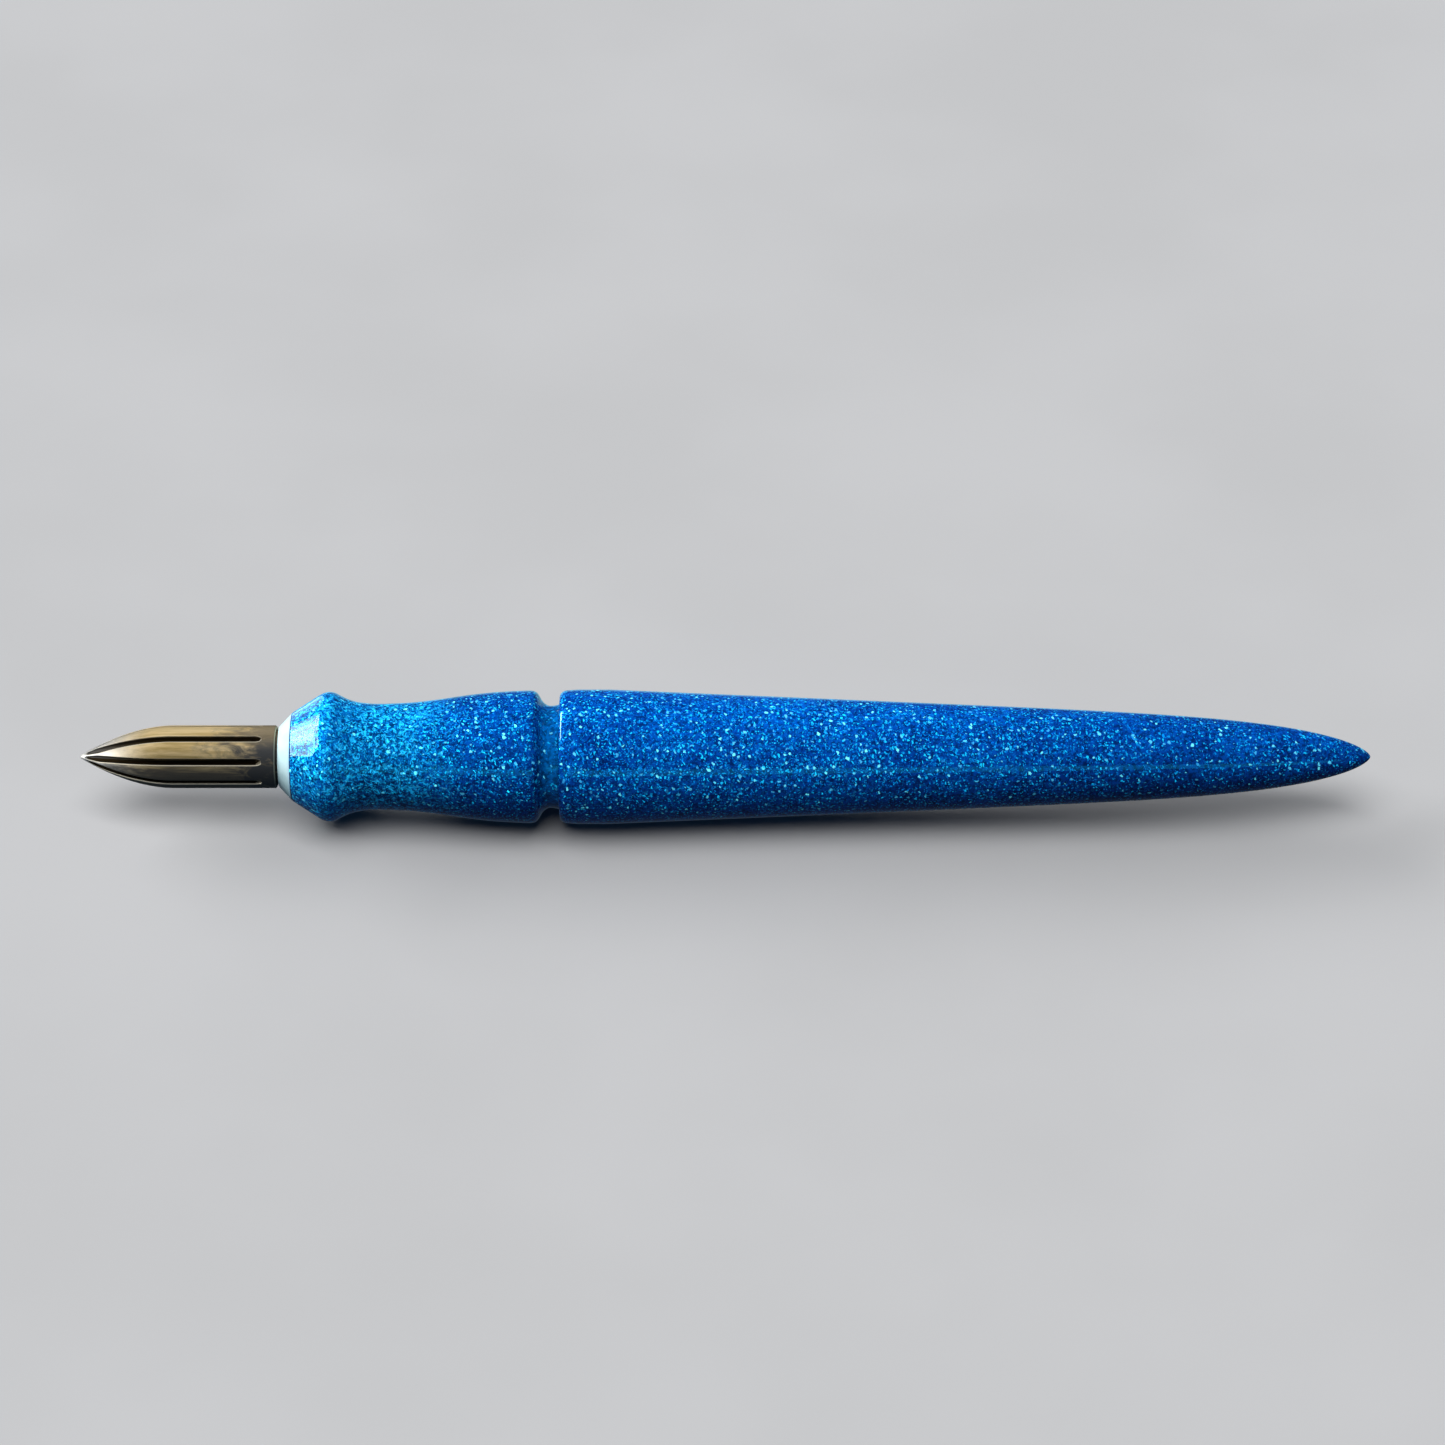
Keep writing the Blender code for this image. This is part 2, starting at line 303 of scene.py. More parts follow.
def flute_side(station):
    """Half of a flute and half of a land: (across, in from the surface, which part it is)."""
    radius = nib_radius(station)
    half, depth, edge = flute_size(station)
    floor_round = min(half, depth)
    wall = depth - floor_round
    drop = min(edge, wall) if wall > 0 else 0.0
    points = []
    # the round floor, the wall, the rounded edge and the land up to the next flute
    for k in range(6):
        angle = math.pi / 2 * k / 5
        inwards = depth - floor_round * (1 - math.cos(angle))
        points.append((half * math.sin(angle), inwards, "inside"))
    points.append((half, drop + 0.5 * (wall - drop), "inside"))
    points.append((half, drop + 0.15 * (wall - drop), "inside"))
    for k in range(4):
        angle = math.pi / 2 * k / 3
        across = half + edge * (1 - math.cos(angle))
        points.append((across, drop * (1 - math.sin(angle)), "edge"))
    start = math.asin(min(1.0, (half + edge) / radius)) + 0.004
    end = math.pi / FLUTES
    for k in range(10):
        across = radius * math.sin(start + (end - start) * k / 9)
        points.append((across, 0.0, "land"))
    return points


def flute_marks(station, across, inwards, part):
    """(painted shade, wear with painted highlight) of a point. A flute's inside is painted dark
    as shade. Its edges, the lower one most, and the lower side of its round rear end are painted
    bright over some wear, a painted highlight where they catch the light.
    """
    lower = across < 0
    if part == "land":
        return 0.0, 0.0
    # painted highlight over edge wear: the lower edge is painted bright where it catches the
    # light, the upper one less
    if part == "edge":
        return 0.0, 1.0 if lower else 0.3
    half = flute_size(station)[0]
    reach = 1 - 2.2 * flute_closing(station) ** 1.5
    # painted highlight: the lower side of the round rear end is painted bright where the light
    # catches it
    painted_crescent_glint = min(1.0, max(0.0, (-across / half - reach) / 0.3))
    # painted shade: the flute's inside is painted dark, and its upper side, which the light
    # reaches, only half as dark
    shade_painted = min(1.0 if lower else 0.48, inwards / FLUTE_PAINTED_SHADE_DEPTH)
    return shade_painted * (1 - painted_crescent_glint), painted_crescent_glint


def nib_ring(station):
    """Points round the nib at a station: (across, up, painted shade, wear with painted
    highlight).
    """
    radius = nib_radius(station)
    side = flute_side(station)
    section = [(-across, *rest) for across, *rest in side[-2:0:-1]] + side
    ring = []
    for flute in range(FLUTES):
        turn = Matrix.Rotation(FLUTE_ROLL + math.tau * flute / FLUTES, 2)
        for across, inwards, part in section:
            out = math.sqrt(max(0.0, radius**2 - across**2)) - inwards
            # the flute at a roll of 0 faces -Y
            spot = turn @ Vector((-out, -across))
            ring.append((spot.x, -spot.y, *flute_marks(station, across, inwards, part)))
    return ring


def nib_stations():
    """Where the nib's rings stand, closest together at the tip and at the flutes' ends."""
    tip_step, nose_step, body_step = 0.05, 0.22, 0.5
    stations = [NIB_TIP_BALL * (1 - math.cos(math.pi / 2 * k / 8)) for k in range(1, 9)]
    stations += [FLUTE_START + tip_step * k for k in range(15)]
    station = stations[-1]
    while station < NIB_NOSE_END - 0.2:
        station += nose_step
        stations.append(station)
    stations += [NIB_NOSE_END + body_step * k for k in range(19)]
    ramp_start = FLUTE_END - FLUTE_RAMP
    stations += [
        ramp_start + FLUTE_RAMP * math.sin(math.pi / 2 * k / 14) for k in range(15)
    ]
    stations += [FLUTE_END + 0.04, 20.8, 21.2, 21.6]
    return sorted({round(s, 4) for s in stations if s < NIB_SHOULDER - 0.25})


def make_fluted_nib(material):
    """The nib's visible body, from its ball tip to its shoulder, with flutes cut as geometry."""
    mesh_builder = bmesh.new()
    # painted shade inside the flutes, kept on the points
    inside = mesh_builder.verts.layers.float.new("painted_flute_shade")
    # edge wear with painted highlights on the flutes' edges, their rear ends and the shoulder
    worn_and_painted_bright = mesh_builder.verts.layers.float.new("edge_wear_and_painted_highlight")
    tip = mesh_builder.verts.new(place(0, 0, 0))
    rings = []
    stations = nib_stations()
    for station in stations:
        ring = []
        fluted = FLUTE_START < station < FLUTE_END
        # the first mark is the painted shade in a flute, the second edge wear with painted
        # highlights
        for across, up, dark, wear_and_painted_highlight in nib_ring(station):
            vert = mesh_builder.verts.new(place(station, across, up))
            vert[inside] = dark if fluted else 0.0
            vert[worn_and_painted_bright] = wear_and_painted_highlight if fluted else 0.0
            ring.append(vert)
        rings.append(ring)
    full = [math.hypot(a, u) for a, u, _, _ in nib_ring(stations[-1])]
    shape = [(a / r, u / r) for (a, u, _, _), r in zip(nib_ring(stations[-1]), full)]
    # the shoulder's round is painted a little brighter, edge wear with a painted highlight
    rear = [
        (NIB_SHOULDER - NIB_REAR_ROUND, NIB_RADIUS, 0.0),
        (NIB_SHOULDER - 0.13, NIB_RADIUS - 0.02, 0.15),
        (NIB_SHOULDER - 0.02, NIB_RADIUS - 0.13, 0.15),
        (NIB_SHOULDER, NIB_RADIUS - NIB_REAR_ROUND, 0.0),
        (NIB_SHOULDER, SHANK_RADIUS - 0.2, 0.0),
    ]
    for station, radius, wear_and_painted_highlight in rear:
        ring = []
        for across, up in shape:
            vert = mesh_builder.verts.new(place(station, radius * across, radius * up))
            vert[worn_and_painted_bright] = wear_and_painted_highlight
            ring.append(vert)
        rings.append(ring)
    count = len(rings[0])
    for k in range(count):
        mesh_builder.faces.new((tip, rings[0][k], rings[0][(k + 1) % count]))
    for near, far in zip(rings, rings[1:]):
        for k in range(count):
            j = (k + 1) % count
            mesh_builder.faces.new((near[k], near[j], far[j], far[k]))
    mesh_builder.faces.new(rings[-1])
    return finished("fluted_nib", mesh_builder, "nib", "nib", material)


def tube_with_slots(outline, thickness, slots, slot_width, slot_span, turn, steps):
    """A thin tube turned from an outer outline, with straight slots cut from one end.

    The walls go inwards from the outline. The tube's own seams are closed at every slot.
    """
    mesh_builder = bmesh.new()
    per_slot = steps // slots
    grid = []
    for station, radius in outline:
        half_slot = math.asin(slot_width / 2 / radius)
        arc = math.tau / slots - 2 * half_slot
        thin = radius - thickness
        line = []
        for slot_index in range(slots):
            start = turn + math.tau * slot_index / slots + half_slot
            for k in range(per_slot + 1):
                angle = start + arc * k / per_slot
                out, up = -math.cos(angle), math.sin(angle)
                outer = mesh_builder.verts.new(place(station, radius * out, radius * up))
                inner = mesh_builder.verts.new(place(station, thin * out, thin * up))
                line.append((outer, inner, k == per_slot))
        grid.append(line)
    first, last = slot_span
    total = len(grid[0])

    def kept(i, k):
        """Whether the wall between rings i and i + 1, after column k, is there."""
        if not 0 <= i < len(grid) - 1:
            return False
        middle = (outline[i][0] + outline[i + 1][0]) / 2
        return not (grid[0][k][2] and first < middle < last)

    for i in range(len(grid) - 1):
        for k in range(total):
            if not kept(i, k):
                continue
            j = (k + 1) % total
            # the corners of one patch of wall, each with its outer and inner point
            a, b, c, d = grid[i][k], grid[i][j], grid[i + 1][j], grid[i + 1][k]
            mesh_builder.faces.new((a[0], b[0], c[0], d[0]))
            mesh_builder.faces.new((a[1], d[1], c[1], b[1]))
            if not kept(i - 1, k):
                mesh_builder.faces.new((a[0], a[1], b[1], b[0]))
            if not kept(i + 1, k):
                mesh_builder.faces.new((d[0], c[0], c[1], d[1]))
            if not kept(i, (k - 1) % total):
                mesh_builder.faces.new((a[0], d[0], d[1], a[1]))
            if not kept(i, j):
                mesh_builder.faces.new((b[0], b[1], c[1], c[0]))
    loose = [v for v in mesh_builder.verts if not v.link_faces]
    bmesh.ops.delete(mesh_builder, geom=loose, context="VERTS")
    return mesh_builder


def soften(piece, width):
    """Small rounds on the piece's edges."""
    bevel = piece.modifiers.new("soft_edges", "BEVEL")
    bevel.width = width * MM
    bevel.segments = 2
    bevel.limit_method = "ANGLE"
    bevel.angle_limit = math.radians(40)
    bevel.harden_normals = False


def make_nib_shank(material):
    outline = [(NIB_SHOULDER - 0.02, SHANK_RADIUS)]
    outline += divided(outline[-1], (SHANK_SLIT_START, SHANK_RADIUS), 0.4)
    outline += divided(outline[-1], (SHANK_END - 0.15, SHANK_RADIUS), 0.8)
    outline += [(SHANK_END - 0.05, SHANK_RADIUS - 0.015), (SHANK_END, SHANK_RADIUS - 0.04)]
    mesh_builder = tube_with_slots(
        outline,
        SHANK_RADIUS - SHANK_BORE,
        1,
        SHANK_SLIT_WIDTH,
        (SHANK_SLIT_START, SHANK_END + 1),
        FLUTE_ROLL,
        INSIDE_ROUND,
    )
    piece = finished("nib_shank", mesh_builder, "nib", "nib", material)
    soften(piece, 0.04)
    return piece


def make_nose_collar(material):
    outline = [
        (COLLAR_FRONT, COLLAR_BORE),
        (COLLAR_FRONT, COLLAR_FRONT_RADIUS),
        (COLLAR_REAR, COLLAR_REAR_RADIUS),
        (COLLAR_REAR, SPIGOT_RADIUS),
        (SPIGOT_END, SPIGOT_RADIUS),
        (SPIGOT_END, COLLAR_BORE),
    ]
    mesh_builder = turned(rounded(outline, 0.09, closed=True), closed=True)
    return finished(
        "pale_nose_collar", mesh_builder, "holder", "nose_collar", material
    )


def make_ferrule(material):
    outline = [
        (SLEEVE_FRONT, SLEEVE_BORE),
        (SLEEVE_FRONT, SLEEVE_RADIUS),
        (SLEEVE_REAR, SLEEVE_RADIUS),
        (SLEEVE_REAR, SLEEVE_BORE),
        (BEAD_END, SLEEVE_BORE),
        (BEAD_END - 0.15, BEAD_RADIUS),
        (BEAD_START + 0.15, BEAD_RADIUS),
        (BEAD_START, SLEEVE_BORE),
    ]
    mesh_builder = turned(rounded(outline, 0.08, closed=True), INSIDE_ROUND, closed=True)
    return finished(
        "brass_ferrule",
        mesh_builder,
        "holder",
        "ferrule_sleeve",
        material,
    )


def make_clip(material):
    """Four spring leaves that meet in a ring, and the base plate across it."""
    leaf = [
        (LEAF_FRONT, LEAF_TIP_OUTER),
        (LEAF_FRONT + 0.3, LEAF_TIP_OUTER + 0.11),
        (LEAF_FRONT + 0.6, LEAF_OUTER - 0.04),
        (LEAF_FRONT + 0.9, LEAF_OUTER),
    ]
    leaf += divided(leaf[-1], (SLOT_FLOOR, LEAF_OUTER), 1.0)
    leaf += divided(leaf[-1], (CLIP_BASE_FRONT + 0.1, LEAF_OUTER), 0.4)
    leaves = tube_with_slots(
        leaf,
        LEAF_THICKNESS,
        LEAVES,
        LEAF_SLOT_WIDTH,
        (LEAF_FRONT - 1, SLOT_FLOOR),
        math.pi / LEAVES,
        INSIDE_ROUND,
    )
    piece = finished(
        "clip_leaves", leaves, "holder", "nib_clip", material
    )
    soften(piece, 0.03)
    base = [
        (CLIP_BASE_FRONT, CLIP_BASE_HOLE),
        (CLIP_BASE_FRONT, CLIP_BASE_RADIUS),
        (CLIP_BASE_REAR, CLIP_BASE_RADIUS),
        (CLIP_BASE_REAR, CLIP_BASE_HOLE),
    ]
    plate = turned(rounded(base, 0.06, closed=True), INSIDE_ROUND, closed=True)
    finished("clip_base", plate, "holder", "nib_clip", material)
    return piece


def make_grip(material):
    bore_point = GRIP_BORE / math.tan(DRILL_POINT)
    counterbore = SPIGOT_RADIUS + GLUE_GAP
    counterbore_end = SPIGOT_END + GLUE_GAP
    inside = [
        (GRIP_BORE_END + bore_point, 0.0),
        (GRIP_BORE_END, GRIP_BORE),
        (counterbore_end, GRIP_BORE),
        (counterbore_end, counterbore),
        (GRIP_FRONT, counterbore),
    ]
    front = rounded(
        [(GRIP_FRONT, counterbore), (GRIP_FRONT, GRIP_FRONT_RADIUS), GRIP_CONE_END], 0.08
    )
    front = front[1:-1]
    outside = flowing(GRIP_CURVE, 8)
    cone = divided(front[-1], outside[0], 0.25)[:-1]
    tenon = [
        (NECK_END, TENON_RADIUS),
        (TENON_END - 0.4, TENON_RADIUS),
        (TENON_END, TENON_RADIUS - 0.4),
        (TENON_END, 0.0),
    ]
    outline = inside + front + cone + outside + tenon
    return finished(
        "resin_grip", turned(outline), "holder", "grip_section", material
    )


def barrel_radius(station):
    """Radius behind the barrel's straight land: a taper that closes in a blunt point."""
    along = (station - LAND_END) / (LENGTH - LAND_END)
    closing = max(0.0, 1 - along**TAIL_POWER) ** TAIL_BLUNTNESS
    return MAX_RADIUS * (1 - TAPER_SHARE * along) * closing


def make_barrel(material):
    socket_point = SOCKET_RADIUS / math.tan(DRILL_POINT)
    inside = [
        (SOCKET_END + socket_point, 0.0),
        (SOCKET_END, SOCKET_RADIUS),
        (BARREL_FRONT, SOCKET_RADIUS),
    ]
    front = rounded(
        [
            (BARREL_FRONT, SOCKET_RADIUS),
            (BARREL_FRONT, BARREL_FRONT_RADIUS),
            BARREL_CHAMFER_END,
            (LAND_START, MAX_RADIUS),
            (LAND_START + 1.0, MAX_RADIUS),
        ],
        BARREL_EDGE_ROUND,
        steps=6,
    )
    front = front[1:-1]
    land = divided(front[-1], (LAND_END, MAX_RADIUS), 0.6)
    tail = []
    for k in range(1, TAIL_ROWS):
        share = math.sin(math.pi / 2 * k / TAIL_ROWS)
        station = LAND_END + (LENGTH - LAND_END) * share
        tail.append((station, barrel_radius(station)))
    outline = inside + front + land + tail + [(LENGTH, 0.0)]
    return finished(
        "resin_barrel", turned(outline), "holder", "barrel", material
    )


# ---------------------------------------------------------------- materials


class Recipe:
    """A material and short ways to add nodes to it. An input is a number, a tuple or a socket."""

    def __init__(self, name, **constants):
        self.material = bpy.data.materials.new(name)
        self.material.use_nodes = True
        self.nodes = self.material.node_tree.nodes
        self.links = self.material.node_tree.links
        self.shader = self.nodes["Principled BSDF"]
        for socket, value in constants.items():
            self.shader.inputs[socket.replace("_", " ")].default_value = value
        found = self.add("ShaderNodeTexCoord").outputs["Object"]
        scaled = self.vector("MULTIPLY", found, (1 / MM,) * 3)
        # millimetres along from the nib's tip, and across and up from the centreline
        offset = (-TIP_X / MM, 0.0, -AXIS_Z / MM)
        self.spot = self.vector("ADD", scaled, offset)

    def set(self, socket, value):
        if isinstance(value, bpy.types.NodeSocket):
            self.links.new(value, socket)
        elif isinstance(value, tuple) and len(value) == 3 and socket.type == "RGBA":
            socket.default_value = (*value, 1.0)
        else:
            socket.default_value = value

    def add(self, kind, inputs=(), **settings):
        node = self.nodes.new(kind)
        for name, value in settings.items():
            setattr(node, name, value)
        for key, value in dict(inputs).items():
            self.set(node.inputs[key], value)
        return node

    def math(self, operation, a, b=0.0):
        return self.add("ShaderNodeMath", {0: a, 1: b}, operation=operation).outputs[0]

    def vector(self, operation, a, b=(0.0, 0.0, 0.0)):
        node = self.add("ShaderNodeVectorMath", {0: a, 1: b}, operation=operation)
        return node.outputs["Vector"]

    def scale(self, a, factor):
        node = self.add("ShaderNodeVectorMath", {0: a}, operation="SCALE")
        self.set(node.inputs["Scale"], factor)
        return node.outputs["Vector"]

    def split(self, a):
        return self.add("ShaderNodeSeparateXYZ", {0: a}).outputs

    def between(self, value, low, high, to_low=0.0, to_high=1.0):
        """value's place from low to high, eased at both ends."""
        inputs = {
            "Value": value,
            "From Min": low,
            "From Max": high,
            "To Min": to_low,
            "To Max": to_high,
        }
        node = self.add("ShaderNodeMapRange", inputs, interpolation_type="SMOOTHSTEP")
        return node.outputs[0]

    def mix(self, factor, a, b):
        """A colour between a and b."""
        node = self.nodes.new("ShaderNodeMix")
        node.data_type = "RGBA"
        self.set(node.inputs[0], factor)
        self.set(node.inputs[6], a)
        self.set(node.inputs[7], b)
        return node.outputs[2]

    def blend(self, factor, a, b):
        """A number between a and b."""
        return self.math("ADD", self.math("MULTIPLY", self.math("SUBTRACT", b, a), factor), a)

    def noise(self, where, scale, detail=2.0, rough=0.5, distortion=0.0):
        inputs = {
            "Vector": where,
            "Scale": scale,
            "Detail": detail,
            "Roughness": rough,
            "Distortion": distortion,
        }
        return self.add("ShaderNodeTexNoise", inputs).outputs["Fac"]

    def dot(self, a, b):
        node = self.add("ShaderNodeVectorMath", {0: a, 1: b}, operation="DOT_PRODUCT")
        return node.outputs["Value"]

    def cells(self, where, scale):
        """(the cell's middle, its random colour)"""
        node = self.add("ShaderNodeTexVoronoi", {"Vector": where, "Scale": scale})
        return node.outputs["Position"], node.outputs["Color"]

    def stretched(self, x, y, z, moved=(0.0, 0.0, 0.0)):
        """The spot scaled along each axis, for grain that runs one way."""
        return self.vector("ADD", self.vector("MULTIPLY", self.spot, (x, y, z)), moved)

    def bump(self, height, strength, distance):
        inputs = {"Height": height, "Strength": strength, "Distance": distance}
        return self.add("ShaderNodeBump", inputs).outputs[0]

    def attribute(self, name):
        return self.add("ShaderNodeAttribute", attribute_name=name).outputs["Fac"]


# linear colours
RESIN_DEEP = (0.0, 0.021, 0.155)
RESIN_MID = (0.0, 0.044, 0.26)
TEAL_DEEP = (0.0, 0.031, 0.14)
TEAL_MID = (0.0, 0.060, 0.235)
GROOVE_TEAL = (0.0, 0.105, 0.33)
VEIN = (0.012, 0.46, 0.90)

# fineness is cells to the millimetre, half a flake's half width, reach its length to its
# width, share the share of cells with a flake, and rarity how few of them are bright
Flakes = namedtuple("Flakes", "fineness half reach share rarity dull bright cover")
FLAKE_LAYERS = (
    Flakes(4.2, 0.086, 2.4, 0.85, 1.5, (0.0, 0.06, 0.34), (0.001, 0.27, 0.80), 0.9),
    Flakes(2.7, 0.115, 2.4, 0.80, 1.5, (0.0, 0.11, 0.50), (0.008, 0.58, 0.98), 1.0),
    Flakes(1.55, 0.172, 1.4, 0.60, 1.5, (0.001, 0.24, 0.76), (0.16, 0.88, 1.0), 1.0),
)


def glitter_resin(name, shift, lit_zone):
    """Clear blue resin full of fine flakes, under a polished surface.

    lit_zone is whether the hidden brass tube lightens the resin, as it does in the grip; it also
    brings the painted light on the grip's front.
    """
    r = Recipe(
        name,
        Coat_Weight=1.0,
        Coat_Roughness=0.03,
        Coat_IOR=1.24,
        IOR=1.3,
        Specular_IOR_Level=0.0,
    )
    here = r.vector("ADD", r.spot, shift)
    station = r.split(r.spot)[0]

    # depths of the cast colour
    cloud = r.noise(here, 0.22, 3.0, 0.55, 0.6)
    patch = r.between(cloud, 0.3, 0.7)
    colour = r.mix(patch, RESIN_DEEP, RESIN_MID)
    shade = r.between(station, 80.0, 125.0, 1.0, 0.84)
    if lit_zone:
        waver = r.math("MULTIPLY", r.math("SUBTRACT", r.noise(here, 0.35, 2.0), 0.5), 7.0)
        reach = r.math("ADD", station, waver)
        front = r.between(reach, 27.0, 32.0, 0.85, 1.0)
        zone = r.math("MULTIPLY", r.between(reach, 43.0, 35.0), front)
        teal = r.mix(patch, TEAL_DEEP, TEAL_MID)
        colour = r.mix(zone, colour, teal)
        # painted light: the resin is painted up to 1.45 times as bright towards the front, over
        # the cone and bulge, where the light falls
        colour = r.scale(colour, r.between(station, 31.0, 28.0, 1.0, 1.45))
        web = r.math("ABSOLUTE", r.math("SUBTRACT", r.noise(here, 1.3, 1.0, 0.5, 1.0), 0.5))
        broken = r.between(r.noise(here, 1.9, 1.0), 0.42, 0.56)
        veined = r.math("MULTIPLY", broken, r.between(station, 44.0, 36.0, 0.0, 0.85))
        vein = r.math("MULTIPLY", r.between(web, 0.075, 0.025), veined)
        colour = r.mix(vein, colour, VEIN)
        shade = r.between(zone, 0.0, 1.0, 0.84, 1.0)
        groove = r.between(station, 50.9, 51.8)
        colour = r.mix(r.math("MULTIPLY", groove, 0.62), colour, GROOVE_TEAL)

    # flakes too deep to be sharp
    buried = r.between(r.noise(here, 2.4, 2.0, 0.6), 0.36, 0.64, 0.55, 1.5)
    colour = r.scale(colour, buried)

    normal = r.add("ShaderNodeNewGeometry").outputs["Normal"]
    metal = 0.0
    tilt = None
    # the flakes drift into clusters, are bent out of true and thin out towards the tail
    cluster = r.noise(here, 0.42, 3.0, 0.6)
    bent = r.add("ShaderNodeTexNoise", {"Vector": here, "Scale": 2.6, "Detail": 1.0})
    bend = r.vector("SUBTRACT", bent.outputs["Color"], (0.5, 0.5, 0.5))
    here = r.vector("ADD", here, r.scale(bend, 0.45))
    plenty = r.between(cluster, 0.34, 0.62, 0.72, 1.1)
    plenty = r.math("MULTIPLY", plenty, r.between(station, 85.0, 125.0, 1.0, 0.72))
    if lit_zone:
        plenty = r.blend(groove, plenty, r.math("MULTIPLY", plenty, 0.45))
    for index, layer in enumerate(FLAKE_LAYERS):
        moved = r.vector("ADD", here, (7.3 * index, 3.1 * index, 5.7 * index))
        middle, random = r.cells(moved, layer.fineness)
        red, green, blue = r.split(random)
        lean = r.vector("SUBTRACT", random, (0.5, 0.5, 0.5))
        off = r.vector("SUBTRACT", moved, middle)
        along = r.dot(off, r.vector("NORMALIZE", lean))
        spare = r.math("MULTIPLY", r.math("MULTIPLY", along, along), 1 - 1 / layer.reach**2)
        away = r.math("SQRT", r.math("SUBTRACT", r.dot(off, off), spare))
        size = r.blend(green, 0.75 * layer.half, 1.2 * layer.half)
        flake = r.between(away, size, r.math("MULTIPLY", size, 0.65))
        chosen = r.math("LESS_THAN", red, r.math("MULTIPLY", plenty, layer.share))
        flake = r.math("MULTIPLY", flake, chosen)
        cover = layer.cover
        if lit_zone and index < 2:
            cover = r.blend(zone, cover, 0.75 * cover)
        flake = r.math("MULTIPLY", flake, cover)
        glow = r.math("POWER", blue, layer.rarity)
        tint = r.mix(glow, layer.dull, layer.bright)
        if lit_zone:
            tint = r.mix(r.math("MULTIPLY", zone, 0.2), tint, (0.010, 0.60, 1.0))
        colour = r.mix(flake, colour, tint)
        leaning = r.scale(r.scale(lean, 0.8), flake)
        tilt = leaning if tilt is None else r.vector("ADD", tilt, leaning)
        metal = r.math("MAXIMUM", metal, r.math("MULTIPLY", flake, 0.25))
    r.set(r.shader.inputs["Base Color"], r.scale(colour, shade))
    r.set(r.shader.inputs["Metallic"], metal)
    r.set(r.shader.inputs["Roughness"], r.blend(metal, 0.6, 0.0))
    tilted = r.vector("NORMALIZE", r.vector("ADD", normal, tilt))
    r.set(r.shader.inputs["Normal"], tilted)
    swell = r.noise(here, 0.9, 2.0)
    r.set(r.shader.inputs["Coat Normal"], r.bump(swell, 0.12, 0.00004))
    return r.material


def aged_brass(name):
    """Brass brushed along its length: tinted silver at the writing end as a painted highlight,
    smoky patina towards the rear, painted shade on its lower front side and painted light on its
    upper back side.
    """
    r = Recipe(name, Anisotropic=0.75)
    station, across, up = r.split(r.spot)
    streaks = r.noise(r.stretched(0.5, 9.0, 9.0), 1.0, 5.0, 0.65)
    bands = r.noise(r.stretched(0.12, 1.6, 1.6, (9.0, 2.0, 5.0)), 1.0, 3.0, 0.6)
    blotch = r.noise(r.stretched(0.35, 0.8, 0.8, (4.0, 1.0, 2.0)), 1.0, 5.0, 0.65, 0.8)
    fine = r.noise(r.stretched(2.0, 14.0, 14.0), 1.0, 3.0)

    gold = (0.56, 0.385, 0.135)
    pale = (0.95, 0.725, 0.38)
    painted_silver_highlight = (0.86, 0.84, 0.78)
    smoky_and_painted_shade = (0.082, 0.083, 0.084)
    painted_flute_shadow = (0.030, 0.019, 0.007)
    colour = r.mix(r.between(bands, 0.3, 0.7), gold, pale)
    colour = r.mix(r.between(streaks, 0.35, 0.75, 0.0, 0.5), colour, pale)
    # painted highlight: the nose is tinted silver, fully at the tip and fading out by 8.5 mm, for
    # the white reflection there
    colour = r.mix(r.between(station, 8.5, 1.5), colour, painted_silver_highlight)
    dark = r.math("ADD", r.between(station, 9.0, 22.0, 0.0, 0.6), blotch)
    dark = r.between(dark, 0.6, 1.08)
    # painted light and shade: the side facing up and back is painted less smoky, and the side
    # facing down and forward is painted dark as shade, with a wavy line between
    below = r.math("ADD", r.math("MULTIPLY", across, 0.59), r.math("MULTIPLY", up, 0.81))
    dark = r.math("SUBTRACT", dark, r.between(below, 0.5, 3.0, 0.0, 0.3))
    under = r.math("ADD", below, r.between(bands, 0.3, 0.7, -0.5, 0.5))
    dark = r.math("MAXIMUM", dark, r.between(under, -0.2, -2.0, 0.0, 0.9))
    colour = r.mix(dark, colour, smoky_and_painted_shade)
    # painted shade: the flutes' insides are painted near black
    flute = r.attribute("painted_flute_shade")
    colour = r.mix(r.between(flute, 0.1, 0.6), colour, painted_flute_shadow)
    # edge wear with painted highlights: the flutes' edges and rear ends and the shoulder are
    # painted pale
    worn_and_painted_bright = r.math("MULTIPLY", r.attribute("edge_wear_and_painted_highlight"), 0.85)
    colour = r.mix(worn_and_painted_bright, colour, (0.95, 0.86, 0.66))
    r.set(r.shader.inputs["Base Color"], colour)
    r.set(r.shader.inputs["Metallic"], r.blend(dark, 0.88, 0.8))
    # brushing along the nib stretches its highlights round it
    around = r.add("ShaderNodeTangent", direction_type="RADIAL", axis="X").outputs[0]
    r.set(r.shader.inputs["Tangent"], around)
    rough = r.blend(dark, 0.42, 0.5)
    rough = r.math("ADD", rough, r.between(fine, 0.3, 0.7, -0.05, 0.07))
    r.set(r.shader.inputs["Roughness"], rough)
    r.set(r.shader.inputs["Normal"], r.bump(streaks, 0.25, 0.00003))
    return r.material


